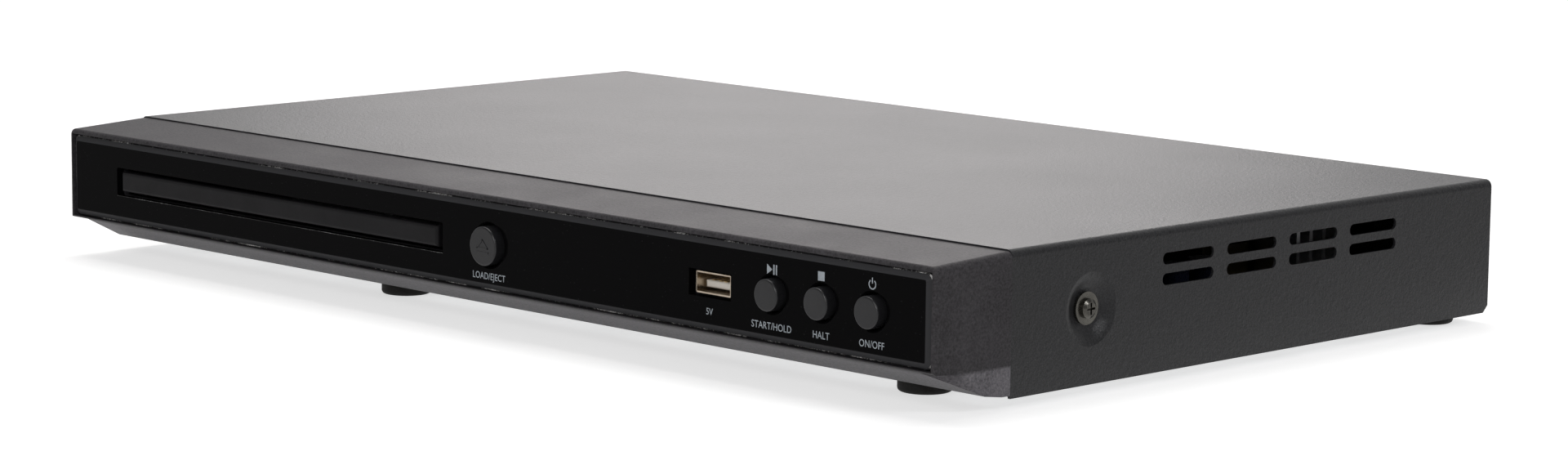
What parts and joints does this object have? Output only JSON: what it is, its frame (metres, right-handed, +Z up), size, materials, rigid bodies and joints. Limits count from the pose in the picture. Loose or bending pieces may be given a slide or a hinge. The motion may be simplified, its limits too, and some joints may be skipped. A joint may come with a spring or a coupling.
{
  "type": "disc player with tray",
  "caption": "Slim desktop disc player: grey metal cover, brown grey bezel, black window, motor driven disc tray, push buttons, front data socket and rear sockets.",
  "frame": {"origin": "on the floor under the middle of the outer box", "axes": "+X to the right seen from the front, -Y out of the front, +Z up"},
  "size_m": [0.36, 0.2388, 0.0406],
  "materials": {
    "cover_paint": "fine textured powder coat",
    "zinc_steel": "galvanised sheet",
    "bezel_plastic": "satin brown grey moulding",
    "window_acrylic": "polished black acrylic",
    "door_plastic": "satin dark moulding",
    "foot_rubber": "moulded rubber",
    "dark_screw": "black nickel",
    "screw_steel": "zinc plated",
    "board_green": "solder mask",
    "board_tan": "paper phenolic",
    "chip_black": "moulded epoxy",
    "capacitor_sleeve": "printed sleeve",
    "transformer_tape": "wound tape over ferrite",
    "heat_sink_metal": "extruded",
    "inlet_plastic": "black moulding",
    "contact_metal": "plated brass",
    "jack_plastic": "black moulding",
    "usb_metal": "plated shell",
    "usb_white": "white moulding",
    "loader_black": "black moulding",
    "gear_white": "natural acetal",
    "cap_steel": "stamped steel",
    "motor_metal": "drawn steel can",
    "rod_steel": "ground steel",
    "belt_rubber": "moulded rubber",
    "damper_rubber": "soft rubber",
    "ribbon_white": "flat ribbon",
    "turntable_black": "black moulding",
    "sled_metal": "filled moulding",
    "lens_glass": "coated lens",
    "button_plastic": "satin dark caps",
    "plunger_plastic": "switch plunger"
  },
  "bodies": {
    "case": {"top_cover": "cover_paint", "chassis_pan": "zinc_steel", "front_bezel": "bezel_plastic", "front_window": "window_acrylic", "rubber_feet": "foot_rubber", "side_screws": "dark_screw", "rear_screws": "screw_steel", "inner_screws": "screw_steel", "main_board": "board_green", "board_chips": "chip_black", "board_capacitors": "capacitor_sleeve", "power_board": "board_tan", "transformer": "transformer_tape", "mains_capacitor": "capacitor_sleeve", "heat_sink": "heat_sink_metal", "mains_inlet": "inlet_plastic", "inlet_pins": "contact_metal", "rca_block": "jack_plastic", "rca_shells": "contact_metal", "video_socket": "inlet_plastic", "usb_shell": "usb_metal", "usb_tongue": "usb_white", "usb_contacts": "contact_metal", "left_key_board": "board_green", "right_key_board": "board_green", "switch_bodies": "chip_black", "ir_receiver": "chip_black", "loader_frame": "loader_black", "clamper_bridge": "zinc_steel", "loading_motor": "motor_metal", "drive_belt": "belt_rubber", "panel_ribbon": "ribbon_white"},
    "tray": {"disc_tray": "loader_black", "tray_door": "door_plastic"},
    "tray_gear": {"tray_gear": "gear_white"},
    "pulley_gear": {"pulley_gear": "gear_white"},
    "motor_pulley": {"motor_pulley": "gear_white"},
    "cam_slider": {"cam_slider": "gear_white"},
    "lifting_deck": {"lift_frame": "loader_black", "traverse_deck": "zinc_steel", "rubber_dampers": "damper_rubber", "deck_screws": "screw_steel", "spindle_motor": "cap_steel", "guide_rods": "rod_steel", "sled_motor": "motor_metal"},
    "turntable": {"spindle_rotor": "cap_steel", "turntable": "turntable_black"},
    "pickup": {"pickup_sled": "sled_metal", "pickup_lens": "lens_glass"},
    "lead_screw": {"lead_screw": "rod_steel"},
    "clamper": {"clamper_disc": "gear_white", "clamper_cap": "cap_steel"},
    "open_close_button": {"open_close_button": "button_plastic", "open_close_plunger": "plunger_plastic"},
    "play_pause_button": {"play_pause_button": "button_plastic", "play_pause_plunger": "plunger_plastic"},
    "stop_button": {"stop_button": "button_plastic", "stop_plunger": "plunger_plastic"},
    "power_button": {"power_button": "button_plastic", "power_plunger": "plunger_plastic"}
  },
  "joints": [
    {"name": "tray_slide", "type": "slide", "parent": "case", "child": "tray", "axis": [0, -1, 0], "range_m": [0, 0.14]},
    {"name": "tray_gear_spin", "type": "hinge", "parent": "case", "child": "tray_gear", "pos_m": [-0.1358, -0.08395, 0.01935], "axis": [0, 0, 1], "range_deg": [0, 891.77]},
    {"name": "pulley_gear_spin", "type": "hinge", "parent": "case", "child": "pulley_gear", "pos_m": [-0.11472, -0.08395, 0.01935], "axis": [0, 0, 1], "range_deg": [-1783.04, 0]},
    {"name": "motor_pulley_spin", "type": "hinge", "parent": "case", "child": "motor_pulley", "pos_m": [-0.07672, -0.08395, 0.0215], "axis": [0, 0, 1], "range_deg": [-6208.64, 0]},
    {"name": "deck_lift", "type": "hinge", "parent": "case", "child": "lifting_deck", "pos_m": [-0.0808, 0.04105, 0.014], "axis": [-1, 0, 0], "range_deg": [0, 3.58]},
    {"name": "cam_slide", "type": "slide", "parent": "case", "child": "cam_slider", "axis": [1, 0, 0], "range_m": [0, 0.02]},
    {"name": "turntable_spin", "type": "hinge", "parent": "lifting_deck", "child": "turntable", "pos_m": [-0.0808, -0.03963, 0.02232], "axis": [0, -0.0625, 0.998], "continuous": true},
    {"name": "clamper_spin", "type": "hinge", "parent": "case", "child": "clamper", "pos_m": [-0.0808, -0.03895, 0.02905], "axis": [0, 0, 1], "continuous": true},
    {"name": "pickup_slide", "type": "slide", "parent": "lifting_deck", "child": "pickup", "axis": [0, 0.998, 0.0625], "range_m": [0, 0.034]},
    {"name": "lead_screw_spin", "type": "hinge", "parent": "lifting_deck", "child": "lead_screw", "pos_m": [-0.0528, -0.01478, 0.00955], "axis": [0, 0.998, 0.0625], "range_deg": [0, 4080.5]},
    {"name": "open_close_press", "type": "slide", "parent": "case", "child": "open_close_button", "axis": [0, 1, 0], "range_m": [0, 0.0006], "stiffness_N_per_m": 900},
    {"name": "play_pause_press", "type": "slide", "parent": "case", "child": "play_pause_button", "axis": [0, 1, 0], "range_m": [0, 0.0006], "stiffness_N_per_m": 900},
    {"name": "stop_press", "type": "slide", "parent": "case", "child": "stop_button", "axis": [0, 1, 0], "range_m": [0, 0.0006], "stiffness_N_per_m": 900},
    {"name": "power_press", "type": "slide", "parent": "case", "child": "power_button", "axis": [0, 1, 0], "range_m": [0, 0.0006], "stiffness_N_per_m": 900}
  ],
  "couplings": [
    {"joint": "tray_gear_spin", "follows": "tray_slide", "rad_per_m": 111.11},
    {"joint": "pulley_gear_spin", "follows": "tray_slide", "rad_per_m": -222.22},
    {"joint": "motor_pulley_spin", "follows": "tray_slide", "rad_per_m": -773.95},
    {"joint": "cam_slide", "follows": "deck_lift", "m_per_rad": 0.31979},
    {"joint": "clamper_spin", "follows": "turntable_spin", "ratio": 1},
    {"joint": "lead_screw_spin", "follows": "pickup_slide", "rad_per_m": 2094.4}
  ]
}
